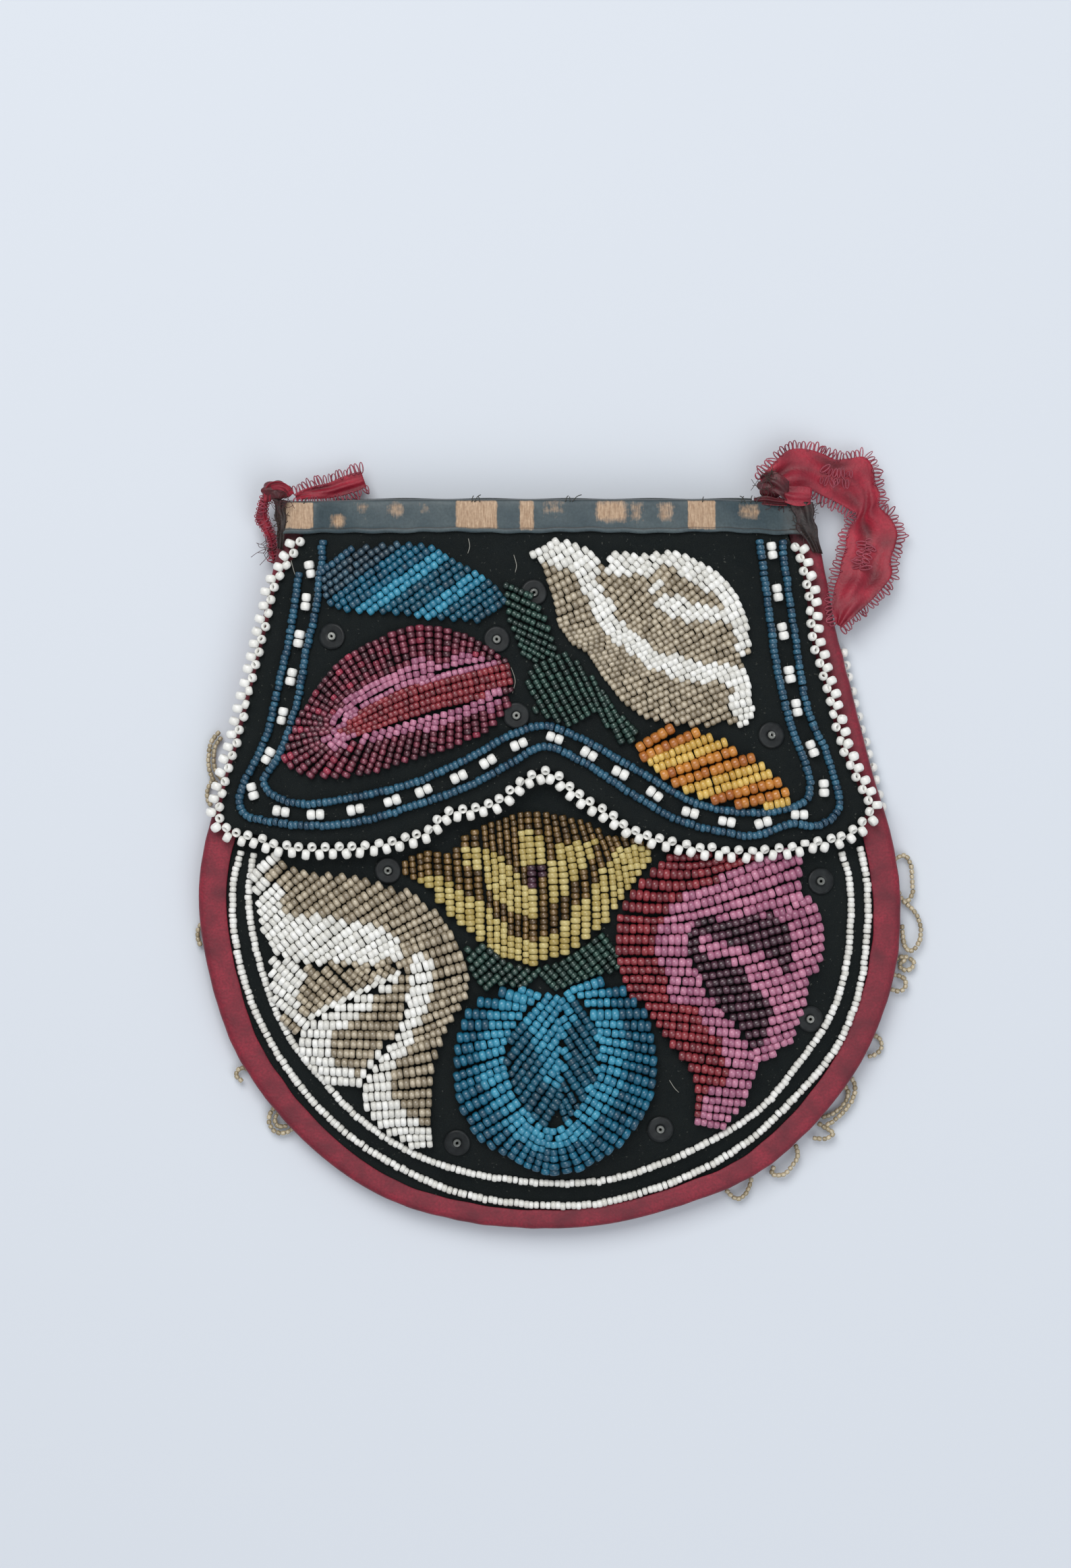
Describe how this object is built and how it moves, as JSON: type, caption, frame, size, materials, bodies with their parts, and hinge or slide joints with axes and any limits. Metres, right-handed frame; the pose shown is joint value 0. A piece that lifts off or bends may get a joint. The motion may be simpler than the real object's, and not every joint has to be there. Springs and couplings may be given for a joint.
{
  "type": "beaded medicine bag",
  "caption": "Flat velvet bag with a rounded foot, open mouth and a flap on each face; raised glass beadwork, red ribbon binding and a fringe of bead loops.",
  "frame": {"origin": "middle of the whole object's footprint, on the surface that it lies on", "axes": "+Z out of the bag's front face, +Y towards its mouth, +X to its right in the front view"},
  "size_m": [0.1522, 0.161, 0.0145],
  "materials": {
    "velvet": "matt pile",
    "lining": "matt weave",
    "red_binding": "satin, folded and creased",
    "red_ribbon": "satin",
    "slate_ribbon": "satin, worn through to tan cloth",
    "dark_ribbon": "worn satin",
    "knot_ribbon": "satin, crushed",
    "white_beads": "polished glass beads",
    "line_blue_beads": "polished glass beads",
    "mid_blue_beads": "polished glass beads",
    "light_blue_beads": "polished glass beads",
    "maroon_beads": "polished glass beads",
    "pink_beads": "polished glass beads",
    "clear_tan_beads": "polished glass beads",
    "orange_beads": "polished glass beads",
    "yellow_beads": "polished glass beads",
    "green_beads": "polished glass beads",
    "brown_gold_beads": "polished glass beads",
    "red_brown_beads": "polished glass beads",
    "loop_beads": "polished glass beads",
    "sequins": "dark and see-through"
  },
  "bodies": {
    "root": {"back_flap_velvet": "velvet", "back_panel_velvet": "velvet", "front_panel_velvet": "velvet", "front_flap_velvet": "velvet", "back_flap_lining": "lining", "back_panel_lining": "lining", "front_panel_lining": "lining", "front_flap_lining": "lining", "edge_binding": "red_binding", "mouth_binding_front": "slate_ribbon", "mouth_binding_back": "dark_ribbon", "ribbon_loop": "red_ribbon", "ribbon_tail": "red_ribbon", "ribbon_strand": "red_ribbon", "ribbon_knot_right": "knot_ribbon", "ribbon_knot_left": "knot_ribbon", "back_flap_edge_beads": "white_beads", "front_flap_edge_beads": "white_beads", "panel_line_outer": "white_beads", "panel_line_inner": "white_beads", "flap_bead_pairs": "white_beads", "flap_flower_sash": "white_beads", "flap_flower_rim": "white_beads", "panel_flower_sash": "white_beads", "panel_flower_low_edge": "white_beads", "panel_flower_right_band": "white_beads", "flap_line_outer": "line_blue_beads", "flap_line_inner": "line_blue_beads", "flap_leaf_blue": "mid_blue_beads", "panel_heart_blue": "mid_blue_beads", "flap_leaf_blue_light_left": "light_blue_beads", "flap_leaf_blue_light_right": "light_blue_beads", "panel_heart_blue_ring": "light_blue_beads", "panel_heart_blue_middle": "light_blue_beads", "flap_bud_maroon": "maroon_beads", "flap_bud_maroon_ring": "pink_beads", "panel_flower_red_pink_left": "pink_beads", "panel_flower_red_pink_right": "pink_beads", "flap_flower": "clear_tan_beads", "panel_flower": "clear_tan_beads", "flap_leaf_gold": "orange_beads", "flap_leaf_gold_yellow_left": "yellow_beads", "flap_leaf_gold_yellow_right": "yellow_beads", "panel_bud_gold_outer_band": "yellow_beads", "panel_bud_gold_inner_band": "yellow_beads", "flap_stem_green": "green_beads", "panel_leaves_green": "green_beads", "panel_bud_gold": "brown_gold_beads", "panel_flower_red": "red_brown_beads", "loop_fringe": "loop_beads", "flap_sequin_1": "sequins", "flap_sequin_2": "sequins", "flap_sequin_3": "sequins", "flap_sequin_4": "sequins", "flap_sequin_5": "sequins", "panel_sequin_1": "sequins", "panel_sequin_2": "sequins", "panel_sequin_3": "sequins", "panel_sequin_4": "sequins", "panel_sequin_5": "sequins"}
  },
  "joints": []
}
